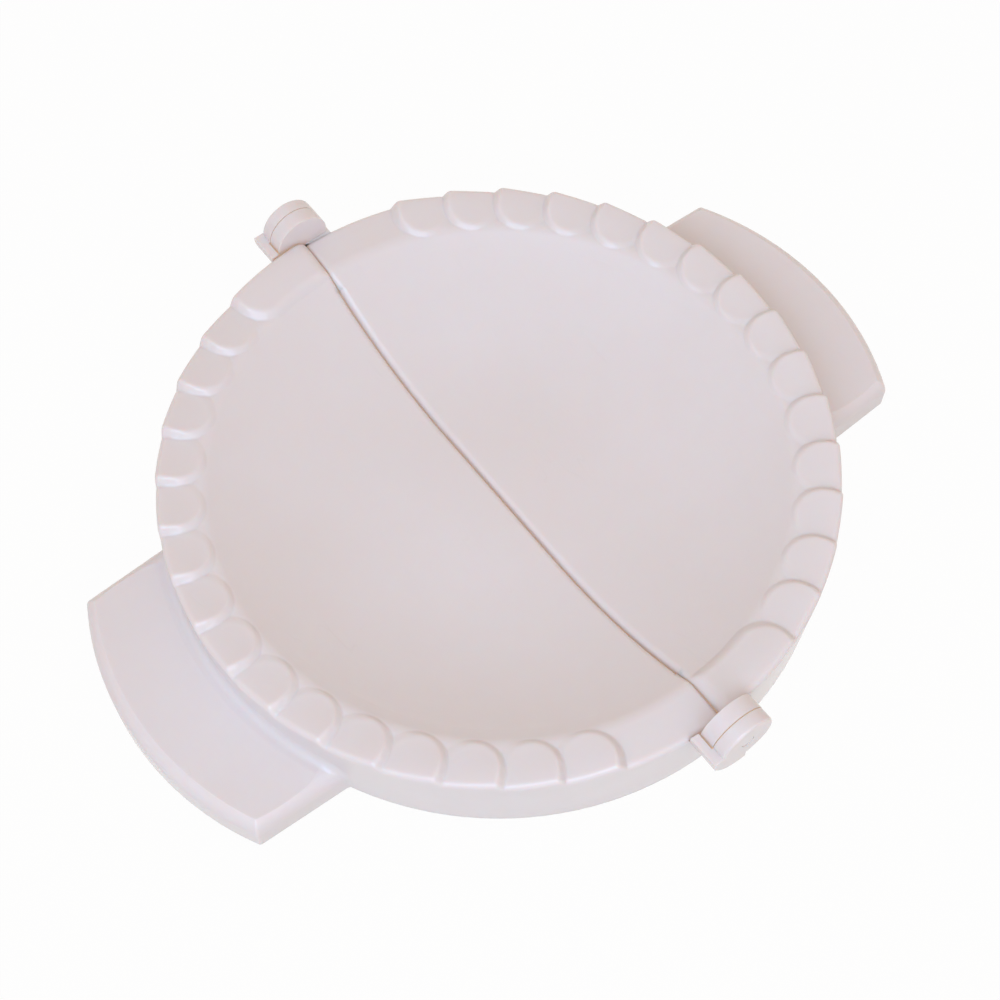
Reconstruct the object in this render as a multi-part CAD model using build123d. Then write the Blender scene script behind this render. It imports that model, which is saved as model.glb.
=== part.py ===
from build123d import *
import math
import os

# Empanada press, lying open and flat: two half-round mouldings hinged along the diameter.
# X runs along the hinge and +Y towards the folding half, with +Z up. The origin is on the
# table, under the middle of the hinge. Millimetres and degrees.

# ---- driving dimensions ----
rim_radius = 75.0            # crimping rim, at the crest of the teeth
rim_height = 20.0            # low level of the rim above the table
skirt_draft = 2.8            # slope of the skirt, narrower at the table
rim_edge_radius = 1.1        # round along the rim's outer edge

rim_width = 10.2             # flat of the rim, from its edge to the mouth of the bowl
mouth_edge_radius = 5.0      # soft edge between the rim and the bowl
bowl_depth = 13.4            # bowl floor below the rim
bowl_slope_run = 44.8        # from the mouth of the bowl in to its flat middle
wall = 2.2                   # moulded wall of bowl, skirt, split wall and tab
rim_thickness = 2.8          # plastic under the low level of the rim

split_gap = 0.4              # slot between the two halves along the hinge line
split_edge_radius = 1.4      # round of the bowl's edge at the slot

step_count = 16              # steps down in each half, the lobe's own included
lobe_angle = 18.0            # from the hinge line to the middle of the first step
lobe_radius = 7.4            # round head of the lobe, at the rim's low level
lobe_split_radius = 1.8      # round of the lobe's edge at the slot
tooth_height = 2.2           # crest above the low level of the rim
tooth_overlap = 0.72         # how far a tooth's round head passes half its share of the rim
tooth_inset = 3.7            # centre of the head, inside the rim's edge
tooth_bevel = 43.0           # lean of the head's side wall from upright
tooth_edge_radius = 1.0      # round along the crest of a tooth
tooth_root = 2.0             # how deep a tooth is sunk into the rim

tab_half_width = 33.8        # half the width of the grip tab at the rim
tab_taper = 2.2              # degrees each end of the tab turns inward, going out
tab_reach = 21.5             # tab beyond the rim
tab_height = 10.0            # top of the tab above the table
tab_lift = 1.3               # underside of the tab above the table
tab_end_radius = 69.0        # curve of the tab's outer edge
tab_corner_radius = 0.8      # upright corners of the tab
tab_edge_radius = 3.8        # round along the tab's top edge
tab_sunk = 15.0              # the tab's outline starts this far inside the rim
dish_depth = 0.5             # hollow in the tab's top
dish_half_width = 8.8        # across the tab, from the dish's middle to its edge
dish_inset = 10.2            # its middle, in from the tab's end
tab_root = 2.0               # soft fillet where the tab's top meets the skirt

crimp_gap = 0.8              # from a lobe to the plain rim it meets when the press is shut
barrel_radius = 6.6          # hinge barrels and caps
barrel_length = 3.6
barrel_clearance = 0.2       # from the round body to the barrel
cap_clearance = 0.2          # between a barrel and its cap
cap_thickness = 3.2
cap_edge_radius = 0.6        # round of the cap's outer face
arm_gap = 0.4                # between a barrel and the arm beside it
arm_thickness = 1.9
arm_drop = 2.9               # arm below the hinge axis
arm_rise = 0.5               # arm above the hinge axis
arm_root = 2.5               # how far an arm is rooted in the round body
heel_overrun = 0.8           # the cap's thicker heel, past the hinge line
web_width = 7.2              # web that carries a barrel, out from the hinge line
web_drop = 2.0               # its top below the hinge axis
web_bottom = 14.0            # its underside above the table
web_root = 3.0               # how far it is rooted in the round body

pin_radius = 1.6             # also the cap's bore, which the pin is pressed into
pin_running_clearance = 0.05  # radial, in the barrel
pin_recess = 0.1             # pin's end below the cap's face
bore_floor = 0.5             # barrel wall left beyond the bore
pin_end_clearance = 0.15     # from the pin's tip to the bore's end
pin_chamfer = 0.2

overrun = 10.0               # how far cutting tools run past what they cut

# ---- worked out from them ----
half_gap = split_gap / 2
draft_slope = math.tan(math.radians(skirt_draft))
crest_height = rim_height + tooth_height
base_radius = rim_radius - crest_height * draft_slope
hinge_height = rim_height + (tooth_height + crimp_gap) / 2
tooth_pitch = (180.0 - 2 * lobe_angle) / (step_count - 1)
tooth_centre = rim_radius - tooth_inset
bevel_slope = math.tan(math.radians(tooth_bevel))
tooth_radius = math.radians(tooth_pitch) * rim_radius / 2 + tooth_overlap
step_lead = math.degrees(tooth_height * bevel_slope / 2 / rim_radius)
head_lag = math.degrees(tooth_radius / tooth_centre) - step_lead
lobe_lag = math.degrees(lobe_radius / tooth_centre) - step_lead
mouth_radius = rim_radius - rim_width
bowl_floor = rim_height - bowl_depth
bowl_floor_radius = mouth_radius - bowl_slope_run
bowl_slope_radius = (bowl_slope_run ** 2 + bowl_depth ** 2) / (2 * bowl_depth)
slope_centre = bowl_floor + bowl_slope_radius
tab_start = rim_radius - tab_sunk
tab_end = rim_radius + tab_reach
barrel_start = rim_radius + barrel_clearance
barrel_end = barrel_start + barrel_length
cap_start = barrel_end + cap_clearance
cap_end = cap_start + cap_thickness
arm_inner = barrel_radius + arm_gap
arm_outer = arm_inner + arm_thickness
huge = 4 * rim_radius


def turned(edges):
    """A solid of revolution about Z from a closed outline in the XZ plane."""
    return revolve(make_face(edges), Axis.Z, 360)


def slope_height(radius, shell):
    """Height of the bowl's curved slope at a radius; shell 0 inside, wall underneath."""
    run = radius - bowl_floor_radius
    return slope_centre - math.sqrt((bowl_slope_radius + shell) ** 2 - run ** 2)


def slope_radius_at(height, shell):
    """Radius at which that slope reaches a height."""
    drop = slope_centre - height
    return bowl_floor_radius + math.sqrt((bowl_slope_radius + shell) ** 2 - drop ** 2)


def beyond(start):
    """Everything on the +Y side of a plane parallel to the hinge line."""
    return Pos(0, start + huge / 2, 0) * Box(huge, huge, huge)


def envelope(bottom, top):
    """The drafted drum between two heights."""
    low = base_radius + bottom * draft_slope
    high = base_radius + top * draft_slope
    return turned(Polyline((0, 0, bottom), (low, 0, bottom), (high, 0, top), (0, 0, top), close=True))


def bowl_cavity():
    """The hollow of the bowl, with the soft edge at its mouth."""
    start = (0, 0, bowl_floor)
    turn = (bowl_floor_radius, 0, bowl_floor)
    middle = bowl_floor_radius + bowl_slope_run / 2
    mouth = (mouth_radius, 0, rim_height)
    outside = rim_radius + overrun
    top = rim_height + overrun
    cavity = turned([
        Line(start, turn),
        ThreePointArc(turn, (middle, 0, slope_height(middle, 0)), mouth),
        Line(mouth, (outside, 0, rim_height)),
        Line((outside, 0, rim_height), (outside, 0, top)),
        Line((outside, 0, top), (0, 0, top)),
        Line((0, 0, top), start),
    ])
    mouth_length = 2 * math.pi * mouth_radius
    ring = [e for e in cavity.edges() if abs(e.length - mouth_length) < wall]
    return fillet(ring, mouth_edge_radius)


def under_cavity():
    """The hollow under the bowl and the rim, inside the skirt and behind the split wall."""
    roof = rim_height - rim_thickness
    reach = slope_radius_at(roof, wall)
    middle = (bowl_floor_radius + reach) / 2
    under_floor = bowl_floor - wall
    skirt_top = base_radius + roof * draft_slope - wall
    skirt_low = base_radius - overrun * draft_slope - wall
    turn = (bowl_floor_radius, 0, under_floor)
    hollow = turned([
        Line((0, 0, under_floor), turn),
        ThreePointArc(turn, (middle, 0, slope_height(middle, wall)), (reach, 0, roof)),
        Line((reach, 0, roof), (skirt_top, 0, roof)),
        Line((skirt_top, 0, roof), (skirt_low, 0, -overrun)),
        Line((skirt_low, 0, -overrun), (0, 0, -overrun)),
        Line((0, 0, -overrun), (0, 0, under_floor)),
    ])
    return hollow & beyond(half_gap + wall)


def bowl_half():
    """Half of the round body, solid underneath, with its top edges rounded."""
    half = (envelope(0, rim_height) - bowl_cavity()) & beyond(half_gap)
    at_split = [e for e in half.edges()
                if abs(e.bounding_box().max.Y - half_gap) < 0.001 and e.center().Z > bowl_floor - 0.001]
    half = fillet(at_split, split_edge_radius)
    outer = [e for e in half.edges().filter_by(GeomType.CIRCLE)
             if abs(e.radius - rim_radius) < wall and e.center().Z > rim_height - wall]
    return fillet(outer, rim_edge_radius)


def head_plan(radius):
    """Head of a tooth in plan: a round end that runs out straight past the rim."""
    run_out = tooth_inset + overrun
    tail = Pos(run_out / 2, 0) * Rectangle(run_out, 2 * radius)
    return Pos(tooth_centre, 0) * (Circle(radius) + tail)


def head_block(radius):
    """The bevelled block a tooth is cut from, its head pointing to +Y."""
    below = Pos(0, 0, rim_height - tooth_root) * head_plan(radius + tooth_root * bevel_slope)
    above = Pos(0, 0, crest_height) * head_plan(radius - tooth_height * bevel_slope)
    return loft([below, above])


def tooth():
    """One scale: its top climbs from near the rim's low level to a crest at the head."""
    crest = tooth_radius - tooth_height * bevel_slope
    foot = tooth_radius - math.radians(tooth_pitch) * rim_radius
    climb = math.degrees(math.atan2(tooth_height, crest - foot))
    ramp = Pos(0, crest, crest_height) * Rot(climb, 0, 0) * Pos(0, 0, overrun) * Box(huge, huge, 2 * overrun)
    scale = (head_block(tooth_radius) - ramp) & envelope(0, crest_height + overrun)
    top = max(scale.faces(), key=lambda face: face.normal_at().Z)
    return fillet(top.edges(), tooth_edge_radius)


def lobe():
    """The long raised tooth beside the hinge, its inner side in line with the other heads."""
    head_angle = lobe_angle - lobe_lag
    inner = tooth_centre - lobe_radius
    low = rim_height - tooth_root
    outside = rim_radius + overrun
    section = make_face(Polyline(
        (inner - tooth_root * bevel_slope, 0, low),
        (inner + tooth_height * bevel_slope, 0, crest_height),
        (outside, 0, crest_height),
        (outside, 0, low),
        close=True))
    raised = revolve(section, Axis.Z, head_angle)
    raised += Rot(0, 0, head_angle) * head_block(lobe_radius)
    raised = raised & envelope(0, crest_height + overrun) & beyond(half_gap)
    split_edges = [e for e in raised.edges()
                   if abs(e.bounding_box().max.Y - half_gap) < 0.001 and e.center().Z > rim_height]
    raised = fillet(split_edges, lobe_split_radius)
    top = raised.faces().sort_by(Axis.Z)[-1]
    rest = [e for e in top.edges() if e.center().Y > half_gap + 2 * lobe_split_radius]
    return fillet(rest, tooth_edge_radius)


def tab_plan(inset):
    """The grip tab's outline in plan, drawn in by a wall thickness or not."""
    centre = tab_end - tab_end_radius
    lean = math.tan(math.radians(tab_taper))
    inner = tab_half_width - inset + tab_sunk * lean
    outer = tab_half_width - inset - tab_reach * lean
    ends = [(-inner, tab_start), (inner, tab_start), (outer, tab_end), (-outer, tab_end)]
    return make_face(Polyline(*ends, close=True)) & Pos(0, centre) * Circle(tab_end_radius - inset)


def dish():
    """A shallow trough round the body, cut into the tab's top."""
    middle = tab_end - dish_inset
    radius = (dish_half_width ** 2 + dish_depth ** 2) / (2 * dish_depth)
    ball = Pos(middle, 0, tab_height - dish_depth + radius) * Rot(90, 0, 0) * Circle(radius)
    return revolve(ball, Axis.Z, 360)


def tab():
    """The grip tab with its dished top, hollow underneath."""
    block = Pos(0, 0, tab_lift) * extrude(tab_plan(0), tab_height - tab_lift)
    top = block.faces().sort_by(Axis.Z)[-1]
    outer = [e for e in top.edges() if e.center().Y > tab_start + 0.001]
    block = fillet(outer, tab_edge_radius)
    upright = [e for e in block.edges() if e.center().Y > rim_radius and
               abs(e.bounding_box().size.X) < 0.001 and e.length > 0.5 and
               abs(e.bounding_box().size.Y) < 0.001]
    block = fillet(upright, tab_corner_radius)
    block -= dish()
    block -= extrude(tab_plan(wall), tab_height - wall - dish_depth)
    return block - envelope(-overrun, crest_height)


def common_half():
    """The moulding both halves share, on the +Y side."""
    half = bowl_half()
    half += lobe()
    scale = tooth()
    for step in range(1, step_count):
        half += Rot(0, 0, lobe_angle + step * tooth_pitch - head_lag) * scale
    half += tab()
    root_radius = base_radius + tab_height * draft_slope
    roots = [e for e in half.edges().filter_by(GeomType.CIRCLE)
             if abs(e.radius - root_radius) < 0.001 and abs(e.center().Z - tab_height) < 0.001]
    half = fillet(roots, tab_root)
    return half - under_cavity()


def along_hinge(radius, start, end):
    """A cylinder on the hinge axis."""
    middle = (start + end) / 2
    return Pos(middle, 0, hinge_height) * Rot(0, 90, 0) * Cylinder(radius, end - start)


def span(x_start, x_end, y_start, y_end, z_start, z_end):
    """A box given by its limits."""
    size = (x_end - x_start, y_end - y_start, z_end - z_start)
    return Pos((x_start + x_end) / 2, (y_start + y_end) / 2, (z_start + z_end) / 2) * Box(*size)


def barrel():
    """The folding half's barrel at the +X end, on its web."""
    web_top = hinge_height - web_drop
    web = span(rim_radius - web_root, barrel_end, half_gap, web_width, web_bottom, web_top)
    knuckle = along_hinge(barrel_radius, barrel_start, barrel_end)
    bore = along_hinge(pin_radius + pin_running_clearance, barrel_start + bore_floor, barrel_end)
    return web + knuckle - bore


def cap():
    """The base half's end cap at the +X end, with its heel and the arm that holds it."""
    body_side = rim_radius - arm_root
    arm_top = hinge_height + arm_rise
    arm = along_hinge(arm_outer, body_side, cap_end) - along_hinge(arm_inner, body_side, cap_start)
    arm = arm & span(body_side, cap_end, -huge, 0, hinge_height - arm_drop, arm_top)
    arm -= Pos(0, 0, rim_height + overrun / 2) * Cylinder(barrel_start, overrun)
    disc = along_hinge(barrel_radius, cap_start, cap_end)
    heel = along_hinge(arm_outer, cap_start, cap_end)
    heel = heel & span(cap_start, cap_end, -huge, heel_overrun, 0, arm_top)
    plug = disc + heel
    face = plug.faces().sort_by(Axis.X)[-1]
    plug = fillet(face.edges(), cap_edge_radius)
    return plug + arm - along_hinge(pin_radius, cap_start, cap_end)


def mirrored(solid):
    """The same piece at the hinge's other end."""
    return mirror(solid, about=Plane.YZ)


def hinge_pin():
    """The pin at the +X end, pressed into the cap and running in the barrel."""
    tip = barrel_start + bore_floor + pin_end_clearance
    pin = along_hinge(pin_radius, tip, cap_end - pin_recess)
    ends = pin.edges().filter_by(GeomType.CIRCLE)
    return chamfer(ends, pin_chamfer)


def build():
    common = common_half()
    base = Rot(0, 0, 180) * common + cap() + mirrored(cap())
    folding = common + barrel() + mirrored(barrel())
    return {
        "base_half": base,
        "folding_half": folding,
        "hinge_pin_right": hinge_pin(),
        "hinge_pin_left": mirrored(hinge_pin()),
    }


def main():
    os.makedirs("parts", exist_ok=True)
    for name, solid in build().items():
        solid.label = name
        export_step(solid, os.path.join("parts", name + ".step"))


if __name__ == "__main__":
    main()
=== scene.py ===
import math
import bmesh
import bpy
import numpy as np
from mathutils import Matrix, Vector


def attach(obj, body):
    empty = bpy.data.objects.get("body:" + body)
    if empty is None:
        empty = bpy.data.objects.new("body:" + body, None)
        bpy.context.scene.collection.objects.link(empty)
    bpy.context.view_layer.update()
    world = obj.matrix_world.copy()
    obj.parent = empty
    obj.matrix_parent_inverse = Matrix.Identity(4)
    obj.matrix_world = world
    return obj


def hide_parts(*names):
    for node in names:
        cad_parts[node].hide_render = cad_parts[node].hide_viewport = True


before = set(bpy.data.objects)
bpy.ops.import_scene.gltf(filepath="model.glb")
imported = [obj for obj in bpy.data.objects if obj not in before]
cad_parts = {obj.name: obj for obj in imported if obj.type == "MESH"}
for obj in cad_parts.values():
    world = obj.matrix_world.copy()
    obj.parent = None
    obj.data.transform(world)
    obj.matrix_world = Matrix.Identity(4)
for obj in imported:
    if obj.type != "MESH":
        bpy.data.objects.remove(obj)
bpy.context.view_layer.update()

# a folding press for filled dough, open and flat: two hinged half mouldings with a crimping rim
scene = bpy.context.scene
mm = 0.001
near = 1e-6      # metres: places nearer than this are one

# camera: degrees and metres, and millimetres for the lens
camera = {
    "azimuth": -37.63,
    "elevation": 61.45,
    "distance": 0.41809,
    "target": (-0.001454, 0.001401, 0.0),
    "lens": 65.68,
    "sensor": 36.0,
    "nearest": 0.01,
    "furthest": 20,
}


def placed(azimuth, elevation, distance, target=(0, 0, 0)):
    az, el = math.radians(azimuth), math.radians(elevation)
    out = Vector((math.cos(el) * math.cos(az), math.cos(el) * math.sin(az), math.sin(el)))
    return Vector(target) + out * distance, out.to_track_quat("Z", "Y").to_euler()


def makeCamera():
    data = bpy.data.cameras.new("viewCamera")
    data.lens = camera["lens"]
    data.sensor_width = camera["sensor"]
    data.clip_start, data.clip_end = camera["nearest"], camera["furthest"]
    ob = bpy.data.objects.new("viewCamera", data)
    ob.location, ob.rotation_euler = placed(camera["azimuth"], camera["elevation"],
                                            camera["distance"], camera["target"])
    scene.collection.objects.link(ob)
    scene.camera = ob


makeCamera()
print("camera set")


# a socket that can stand in ordinary sums
class Wire:
    def __init__(self, graph, socket):
        self.graph = graph
        self.socket = socket

    def sum(self, operation, *values):
        return self.graph.add("ShaderNodeMath", {"operation": operation}, dict(enumerate(values)))

    def __add__(self, other):
        return self.sum("ADD", self, other)

    def __radd__(self, other):
        return self.sum("ADD", other, self)

    def __sub__(self, other):
        return self.sum("SUBTRACT", self, other)

    def __rsub__(self, other):
        return self.sum("SUBTRACT", other, self)

    def __mul__(self, other):
        return self.sum("MULTIPLY", self, other)

    def __rmul__(self, other):
        return self.sum("MULTIPLY", other, self)

    def __abs__(self):
        return self.sum("ABSOLUTE", self)


# one node tree, and the one way that nodes are put in it
class Graph:
    def __init__(self, owner):
        owner.use_nodes = True
        self.tree = owner.node_tree
        self.tree.nodes.clear()

    def add(self, kind, settings=None, sockets=None, out=0):
        node = self.tree.nodes.new(kind)
        for name, value in (settings or {}).items():
            setattr(node, name, value)
        for key, value in (sockets or {}).items():
            if isinstance(value, Wire):
                self.tree.links.new(value.socket, node.inputs[key])
            else:
                node.inputs[key].default_value = value
        return Wire(self, node.outputs[out] if node.outputs else None)

    def noise(self, where, scale, detail, roughness=0.5):
        return self.add("ShaderNodeTexNoise", None,
                        {"Vector": where, "Scale": scale, "Detail": detail, "Roughness": roughness})

    def blend(self, factor, first, second):
        return self.add("ShaderNodeMix", {"data_type": "RGBA"}, {0: factor, 6: first, 7: second}, out=2)

    def spread(self, value, span, outLow=0.0, outHigh=1.0):
        return self.add("ShaderNodeMapRange", {"interpolation_type": "SMOOTHSTEP"},
                        {"Value": value, "From Min": span[0], "From Max": span[1],
                         "To Min": outLow, "To Max": outHigh})

    # 1 where the camera, a reflection or clear plastic looks straight at it
    def direct(self):
        rays = [self.add("ShaderNodeLightPath", out=kind) for kind in
                ("Is Camera Ray", "Is Glossy Ray", "Is Transmission Ray")]
        return rays[0] + rays[1] + rays[2]


# the off-white moulding: lengths in metres, noises by their scale, and spans of noise or openness
moulding = {
    "body": (0.744, 0.677, 0.683, 1),
    "cool": (0.751, 0.689, 0.700, 1),      # slow drifts towards a cooler white
    "warm": (0.737, 0.665, 0.665, 1),      # and a warmer one
    "drift": 22.0, "cool span": (0.46, 0.66), "warm span": (0.30, 0.50), "warm share": 0.7,
    "flow": 130.0, "flow span": (0.40, 0.75), "flow share": 0.25,
    "hair": (0.60, 0.52, 0.50, 1),         # fine hair scratches, in a few patches
    "hair turn": 0.6, "hair stretch": (30, 210, 60), "hair width": 0.006, "hair share": 0.10,
    "patches": 60.0, "patch span": (0.60, 0.70),
    "creviceShade": (0.56, 0.40, 0.33, 1),      # painted shade: darker brown where faces nearly touch
    "crevice reach": 0.005, "crevice span": (0.05, 0.62), "crevice share": 0.6,
    "gap": (0.22, 0.17, 0.095, 1),         # painted glow: brown light given out in the narrowest gaps, standing in for light that seeps through the plastic
    "gap span": (0.02, 0.22),
    "skin": 620.0, "skin bump": 0.10, "skin depth": 0.00012, "hair depth": -1.5,
    "roughness": 0.42, "flow roughness": 0.10, "hair roughness": 0.15, "crevice roughness": 0.1,
    "index": 1.49, "specular": 0.5,
    "sheen": 0.5, "sheen roughness": 0.14, "sheen index": 1.5,      # a thin glossy coat over it
    "depth": 0.6, "bleed": 0.0022,         # light travels a little way inside,
    "bleed colours": (1.0, 0.55, 0.40),    # red the furthest
}


def mouldedPlastic(name, look):
    made = bpy.data.materials.new(name)
    g = Graph(made)
    where = g.add("ShaderNodeTexCoord", out=3)
    drift = g.noise(where, look["drift"], 3.0)
    flow = g.noise(where, look["flow"], 4.0, 0.6)
    colour = g.blend(g.spread(drift, look["cool span"]), look["body"], look["cool"])
    colour = g.blend(g.spread(drift, look["warm span"], look["warm share"], 0.0), colour, look["warm"])
    colour = g.blend(g.spread(flow, look["flow span"], 0.0, look["flow share"]), colour, look["warm"])

    # hair scratches: thin contour lines of a stretched noise, kept to a few places
    turned = g.add("ShaderNodeMapping", None, {"Vector": where, "Rotation": (0.0, 0.0, look["hair turn"]),
                                               "Scale": look["hair stretch"]})
    line = g.spread(abs(g.noise(turned, 1.0, 1.0) - 0.5), (0.0, look["hair width"]), 1.0, 0.0)
    scratch = line * g.spread(g.noise(where, look["patches"], 1.0), look["patch span"])
    colour = g.blend(scratch * look["hair share"], colour, look["hair"])

    # painted shade: the base colour turns darker brown where faces nearly touch
    tight = g.add("ShaderNodeAmbientOcclusion", {"samples": 6}, {"Distance": look["crevice reach"]}, out=1)
    creviceShade = g.spread(tight, look["crevice span"], 1.0, 0.0)
    colour = g.blend(creviceShade * look["crevice share"], colour, look["creviceShade"])
    # painted glow: the narrowest gaps give out a faint brown light of their own
    gapGlow = g.blend(g.spread(tight, look["gap span"], 1.0, 0.0), (0, 0, 0, 1), look["gap"])

    skin = g.noise(where, look["skin"], 2.0)
    bump = g.add("ShaderNodeBump", None, {"Strength": look["skin bump"], "Distance": look["skin depth"],
                                          "Height": skin + scratch * look["hair depth"]})
    rough = look["roughness"] + (flow - 0.5) * look["flow roughness"]
    rough = rough + scratch * look["hair roughness"] + creviceShade * look["crevice roughness"]
    shader = g.add("ShaderNodeBsdfPrincipled", None, {
        "Base Color": colour, "Roughness": rough, "Normal": bump,
        "IOR": look["index"], "Specular IOR Level": look["specular"],
        "Subsurface Weight": look["depth"], "Subsurface Radius": look["bleed colours"],
        "Subsurface Scale": look["bleed"],
        "Coat Weight": look["sheen"], "Coat Roughness": look["sheen roughness"],
        "Coat IOR": look["sheen index"],
        "Emission Color": gapGlow, "Emission Strength": 1.0})
    g.add("ShaderNodeOutputMaterial", None, {"Surface": shader})
    return made


plastic = mouldedPlastic("mouldedPlastic", moulding)
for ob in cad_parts.values():
    for slot in ob.material_slots:
        slot.material = plastic
print("plastic mixed")

# the crimping rim: millimetres and degrees, laid out on the half that folds and turned round for the other
rim = {
    "radius": 75.0, "height": 20.0, "draft": 2.8, "edge": 1.25, "crest": 22.2,
    "mouth": 64.8, "mouth edge": 5.0, "slope run": 44.8, "depth": 13.4,      # the bowl inside it
    "steps": 16, "first step": 19.0, "pitch": 9.6, "slant": 6.0,      # where each tooth ends
    "head": 7.1, "inset": 3.7, "curl": 0.85,                          # its round front
    "front bevel": 1.7, "inner bevel": 1.15, "crease": 0.32, "root": 0.10,
    "rise": 2.6, "foot": 0.23, "climb": 1.25,                         # how it climbs to the front
    "inner rise": 0.5, "fade from": 72.8, "fade run": 8.6,            # and sinks towards the bowl
    "melt": 8,                                                        # higher: teeth meet more sharply
    "lobe head": 7.5, "lobe rise": 2.3, "lobe bevel": 1.8,            # the long first tooth
    "split": 1.0, "lobe split": 2.7, "join split": 1.4, "join run": 4.0,      # round edge along the split
    "gap": 0.07, "cad gap": 0.2, "bend run": 3,        # half the split, here and in the solids
    "shut": 42.92, "spare": 0.6,                       # the most that two rims may add up to when shut
    "cut": 17.5, "tuck": 0.1,                          # the solid's rim goes above this height
    "lift": 0.01, "skirt play": 0.03, "sharp": 38,
    "join": 60.9, "seam from": 60.2, "seam to": 61.3,      # where the sheet and the bowl are joined
    "fine to": 67.3, "fine step": 0.25, "wide rows": 16, "edge read": 73.65, "turn": 0.2,
}
headCircle = rim["radius"] - rim["inset"]


def skirtRadius(z):
    slope = math.tan(math.radians(rim["draft"]))
    return rim["radius"] - rim["crest"] * slope + z * slope


# bowl slope, soft mouth and flat rim, by radius
def plainHeight(r):
    run, depth, edge = rim["slope run"], rim["depth"], rim["mouth edge"]
    start, floor = rim["mouth"] - run, rim["height"] - depth
    bend = (run ** 2 + depth ** 2) / (2 * depth)
    middle = floor + bend
    centre = start + math.sqrt((bend + edge) ** 2 - (middle - rim["height"] + edge) ** 2)
    meet = start + (centre - start) * bend / (bend + edge)
    slope = middle - np.sqrt(np.clip(bend ** 2 - (r - start) ** 2, 0, None))
    soft = rim["height"] - edge + np.sqrt(np.clip(edge ** 2 - (r - centre) ** 2, 0, None))
    return np.where(r < meet, slope, np.where(r < centre, soft, rim["height"]))


def ease(t):
    t = np.clip(t, 0, 1)
    return t * t * (3 - 2 * t)


# 0 outside an outline and 1 from width on: straight between, with its two bends rounded
def bevelled(inside, width):
    crease, root = rim["crease"], rim["root"]
    t = inside / width
    f = np.clip(t, 0, 1)
    f = np.where(np.abs(t - 1) < crease, 1 - (1 + crease - t) ** 2 / (4 * crease), f)
    return np.where(np.abs(t) < root, (t + root) ** 2 / (4 * root), f)


# the angle of a head's centre round the rim
def headAngle(step, head):
    return rim["first step"] + step * rim["pitch"] - math.degrees(head / headCircle)


# outward and forward of a head's centre, and away from it round its curled front
def headPlace(x, y, angle):
    c, s = math.cos(math.radians(angle)), math.sin(math.radians(angle))
    x, y = x - headCircle * c, y - headCircle * s
    c, s = math.cos(math.radians(angle - rim["slant"])), math.sin(math.radians(angle - rim["slant"]))
    out, forward = x * c + y * s, y * c - x * s
    return out, forward, np.hypot(np.where(out < 0, out, out * rim["curl"]), forward)


# how far one tooth stands over the plain surface
def toothRise(x, y, r, plain, fall, step):
    head = rim["head"]
    out, forward, away = headPlace(x, y, headAngle(step, head))
    turn = (np.minimum(out, 0) / np.maximum(away, near)) ** 2      # 0 at the front, 1 on the bowl's side
    width = rim["front bevel"] + (rim["inner bevel"] - rim["front bevel"]) * turn
    along = 1 - (head - forward) / (math.radians(rim["pitch"]) * r)
    climb = rim["foot"] + (1 - rim["foot"]) * np.clip(along, 0, 1) ** rim["climb"]
    top = rim["height"] + rim["rise"] * climb * fall
    return np.clip((top - plain) * bevelled(head - away, width), 0, None)


# 1 on the long first tooth beside the split, and 0 off it
def lobeShare(x, y, r):
    head = rim["lobe head"]
    out, forward, away = headPlace(x, y, headAngle(0, head))
    inside = np.where(forward < 0, r - headCircle + head, head - away)
    return bevelled(np.where(x > 0, inside, -1), rim["lobe bevel"])


# how far the edge along the split is rounded down, more so on the lobe
def splitDrop(y, r, lobe):
    split = rim["join split"] + (rim["split"] - rim["join split"]) * ease((r - rim["join"]) / rim["join run"])
    width = split + (rim["lobe split"] - split) * lobe + rim["cad gap"] - rim["gap"]
    drop = split + (rim["lobe rise"] - split) * lobe
    back = 1 - np.clip((y - rim["gap"]) / width, 0, 1)
    return drop * (1 - np.sqrt(1 - back ** 2))


def freeHeight(x, y):
    r = np.hypot(x, y)
    plain = plainHeight(r)
    fall = 1 - (1 - rim["inner rise"]) * ease((rim["fade from"] - r) / rim["fade run"])
    lobe = lobeShare(x, y, r)
    total = np.zeros_like(r)
    for step in range(1, rim["steps"]):
        total += toothRise(x, y, r, plain, fall, step) ** rim["melt"]
    total += np.clip((rim["height"] + rim["lobe rise"] * fall - plain) * lobe, 0, None) ** rim["melt"]
    return plain + total ** (1 / rim["melt"]) - splitDrop(y, r, lobe)


# the free height, eased down where the two halves would meet when folded
def rimHeight(x, y):
    here, there = freeHeight(x, y), freeHeight(-x, y)
    over = np.clip(here + there - rim["shut"], 0, None)
    spare, other = rim["crest"] + rim["spare"] - here, rim["crest"] + rim["spare"] - there
    return here - over * spare / (spare + other)


# points at one radius, or one for each turn, kept off the split at both ends
def roundRim(r, turns):
    bend = rim["gap"] * np.clip(1 - np.minimum(turns, 180 - turns) / rim["bend run"], 0, None)
    y = r * np.sin(np.radians(turns)) + bend
    x = np.sqrt(np.maximum(r * r - y * y, 0)) * np.where(turns < 90, 1, -1)
    return x, y


# rows from the bowl outward, then over the rounded edge and down the skirt
def rimRows(turns):
    rows = []

    def addRow(r, z=None):
        x, y = roundRim(r, turns)
        rows.append((x, y, rimHeight(x, y) if z is None else z))

    fine = np.arange(rim["join"], rim["fine to"], rim["fine step"])
    for r in fine:
        addRow(r)
    edge = skirtRadius(rimHeight(*roundRim(rim["edge read"], turns))) - rim["edge"]
    for share in np.linspace(0, 1, rim["wide rows"] + 1)[1:]:
        addRow(fine[-1] + (edge - fine[-1]) * share)
    top = rows[-1][2]
    for tilt in np.radians([18, 36, 54, 72, 90]):
        z = top - rim["edge"] * (1 - math.cos(tilt))
        addRow(skirtRadius(z) - rim["edge"] * (1 - math.sin(tilt)) + rim["lift"], z)
    low = rows[-1][2]
    for share in (0.5, 1.0):
        z = low + (rim["cut"] - rim["tuck"] - low) * share
        addRow(skirtRadius(z) + rim["lift"], z)
    return np.array(rows).transpose(0, 2, 1)


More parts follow.
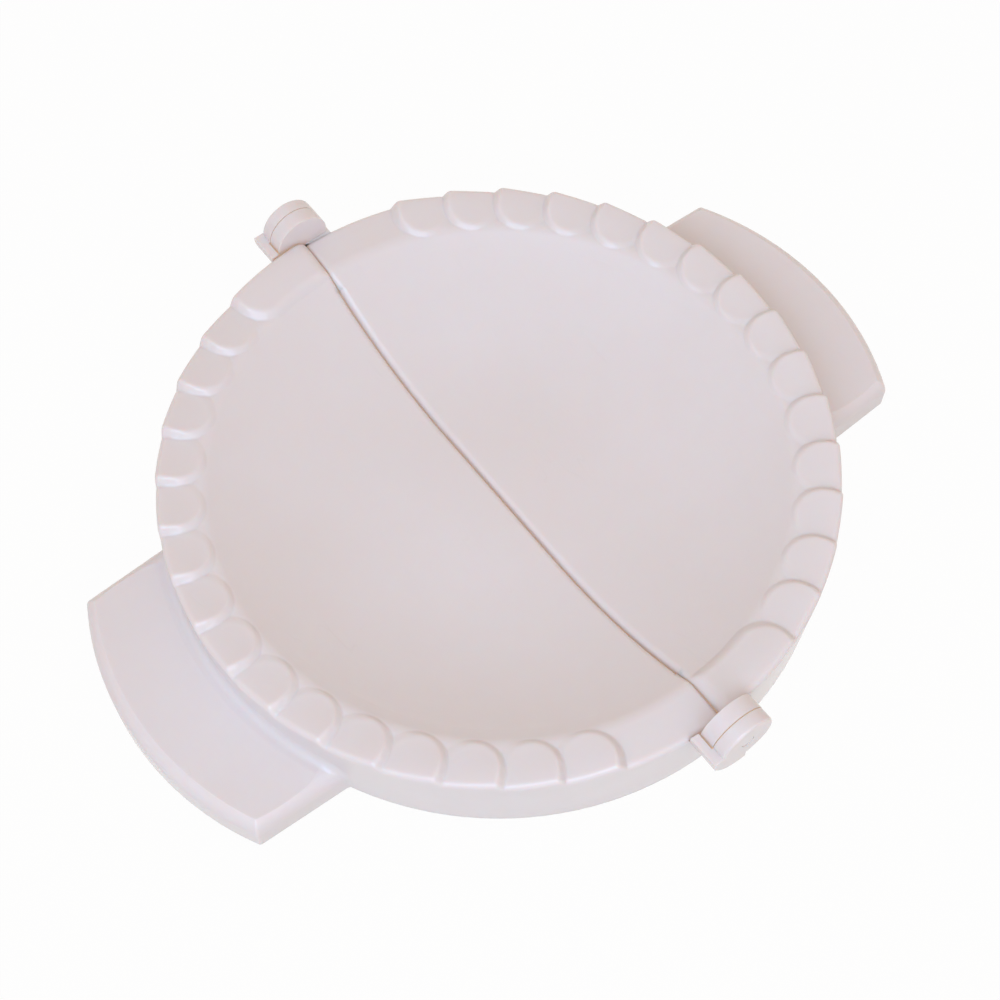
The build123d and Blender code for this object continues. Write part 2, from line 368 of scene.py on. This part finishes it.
# the rim's whole top as a grid, with a wall at each end of it along the split
def rimSheet():
    ends = [0, 0.03, 0.1, 0.2, 0.34, 0.5]      # degrees: closer together beside the split
    middle = np.arange(ends[-1] + rim["turn"], 180 - ends[-1] - rim["turn"] / 2, rim["turn"])
    grid = rimRows(np.concatenate([ends, middle, 180 - np.array(ends[::-1])]))
    tall, wide = grid.shape[:2]
    points = grid.reshape(-1, 3)
    index = np.arange(tall * wide).reshape(tall, wide)
    faces = np.stack([index[:-1, :-1], index[1:, :-1], index[1:, 1:], index[:-1, 1:]], -1)
    faces = [faces.reshape(-1, 4)]
    for side, flip in ((0, False), (wide - 1, True)):
        base = grid[:, side].copy()
        base[:, 2] = np.minimum(base[:, 2], rim["cut"]) - rim["tuck"]
        above, below = index[:, side], len(points) + np.arange(tall)
        points = np.concatenate([points, base])
        wall = np.stack([above[:-1], below[:-1], below[1:], above[1:]], -1)
        faces.append(wall[:, ::-1] if flip else wall)
    return points, np.concatenate(faces)


def sortedRound(row, side):
    turns = ((math.atan2(side * v.co.y, side * v.co.x), v) for v in row)
    return sorted(turns, key=lambda one: one[0])


# triangles between two rows of points, both sorted by angle
def zipRows(bm, first, second):
    i = j = 0
    while i < len(first) - 1 or j < len(second) - 1:
        ahead = i < len(first) - 1 and (j == len(second) - 1 or first[i + 1][0] < second[j + 1][0])
        third = first[i + 1][1] if ahead else second[j + 1][1]
        if (third.co - first[i][1].co).length > near / 10:
            face = bm.faces.new((first[i][1], third, second[j][1]))
            face.normal_update()
            if face.normal.z < 0:
                face.normal_flip()
        i, j = (i + 1, j) if ahead else (i, j + 1)


# cut the half level, and take off the rim above the cut
def takeRimOff(bm, cut):
    bmesh.ops.bisect_plane(bm, geom=bm.verts[:] + bm.edges[:] + bm.faces[:], dist=near / 10,
                           plane_co=(0, 0, cut), plane_no=(0, 0, 1))
    gone = []
    for face in bm.faces:
        c = face.calc_center_median()
        if c.z > cut + near and math.hypot(c.x, c.y) / mm < skirtRadius(c.z / mm) + rim["skirt play"]:
            gone.append(face)
    bmesh.ops.delete(bm, geom=gone, context="FACES")


# bring the walls along the split nearer to it
def narrowSplit(bm, side):
    for v in bm.verts:
        if abs(side * v.co.y - rim["cad gap"] * mm) < near:
            v.co.y = side * rim["gap"] * mm


def dressHalf(name, node, turned):
    side = -1 if turned else 1
    cut = rim["cut"] * mm
    bm = bmesh.new()
    bm.from_mesh(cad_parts[node].data)
    takeRimOff(bm, cut)
    narrowSplit(bm, side)
    seam = {v for e in bm.edges if e.is_boundary for v in e.verts}
    seam = [v for v in seam if abs(v.co.z - cut) < near and
            rim["seam from"] < math.hypot(v.co.x, v.co.y) / mm < rim["seam to"]]

    points, faces = rimSheet()
    if turned:
        points = points * (-1, -1, 1)
    sheet = bpy.data.meshes.new(name + "Rim")
    sheet.from_pydata((points * mm).tolist(), [], faces.tolist())
    before = set(bm.verts)
    bm.from_mesh(sheet)
    inner = [v for v in bm.verts if v not in before and v.co.z > cut and
             abs(math.hypot(v.co.x, v.co.y) - rim["join"] * mm) < near]
    zipRows(bm, sortedRound(seam, side), sortedRound(inner, side))

    made = bpy.data.meshes.new(name)
    bm.to_mesh(made)
    bm.free()
    bpy.data.meshes.remove(sheet)
    made.materials.append(plastic)
    made.shade_smooth()
    made.set_sharp_from_angle(angle=math.radians(rim["sharp"]))
    ob = bpy.data.objects.new(name, made)
    scene.collection.objects.link(ob)
    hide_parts(node)
    return ob


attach(dressHalf("baseMoulding", "base_half", True), "base")
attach(dressHalf("foldingMoulding", "folding_half", False), "folding")
print("halves moulded")

# studio: a wide cool box on the camera's side, a small one to its right, and a warm pale surround
studio = {
    "window": {"azimuth": -50, "elevation": 48, "distance": 0.9, "width": 0.8, "height": 0.5,
               "power": 4.55, "colour": (0.465, 0.716, 1.0)},
    "glint": {"azimuth": -15, "elevation": 30, "distance": 0.9, "width": 0.35, "height": 0.35,
              "power": 0.85, "colour": (0.80, 0.88, 1.0)},
    "surround": (0.743, 0.638, 0.540, 1),
}


def makeLamp(name, look):
    data = bpy.data.lights.new(name, "AREA")
    data.shape = "RECTANGLE"
    data.size, data.size_y = look["width"], look["height"]
    data.energy = look["power"]
    data.color = look["colour"]
    ob = bpy.data.objects.new(name, data)
    ob.location, ob.rotation_euler = placed(look["azimuth"], look["elevation"], look["distance"])
    scene.collection.objects.link(ob)


# the surround lights in its own colour, and shows as white
def makeSurround():
    world = bpy.data.worlds.new("surround")
    scene.world = world
    g = Graph(world)
    light = g.add("ShaderNodeBackground", None, {"Color": studio["surround"], "Strength": 1.0})
    white = g.add("ShaderNodeBackground", None, {"Color": (1, 1, 1, 1), "Strength": 1.0})
    both = g.add("ShaderNodeMixShader", None, {0: g.direct(), 1: light, 2: white})
    g.add("ShaderNodeOutputWorld", None, {"Surface": both})


# pale paper just under the part, whitened where it is looked at
floorLook = {"size": 3.0, "drop": 0.0003, "colour": (0.58, 0.515, 0.46, 1), "roughness": 0.9,
             "specular": 0.1, "whitening": 0.97}


def makeFloor():
    half = floorLook["size"] / 2
    mesh = bpy.data.meshes.new("floor")
    mesh.from_pydata([(-half, -half, 0), (half, -half, 0), (half, half, 0), (-half, half, 0)], [],
                     [(0, 1, 2, 3)])
    ob = bpy.data.objects.new("floor", mesh)
    ob.location = (0, 0, -floorLook["drop"])
    scene.collection.objects.link(ob)
    made = bpy.data.materials.new("floorPaper")
    g = Graph(made)
    paper = g.add("ShaderNodeBsdfPrincipled", None, {
        "Base Color": floorLook["colour"], "Roughness": floorLook["roughness"],
        "Specular IOR Level": floorLook["specular"]})
    white = g.add("ShaderNodeEmission", None, {"Color": (1, 1, 1, 1), "Strength": 1.0})
    both = g.add("ShaderNodeMixShader", None, {0: g.direct() * floorLook["whitening"], 1: paper, 2: white})
    g.add("ShaderNodeOutputMaterial", None, {"Surface": both})
    mesh.materials.append(made)


makeLamp("windowBox", studio["window"])
makeLamp("glintBox", studio["glint"])
makeSurround()
makeFloor()
scene.view_settings.view_transform = "Standard"
print("studio lit")
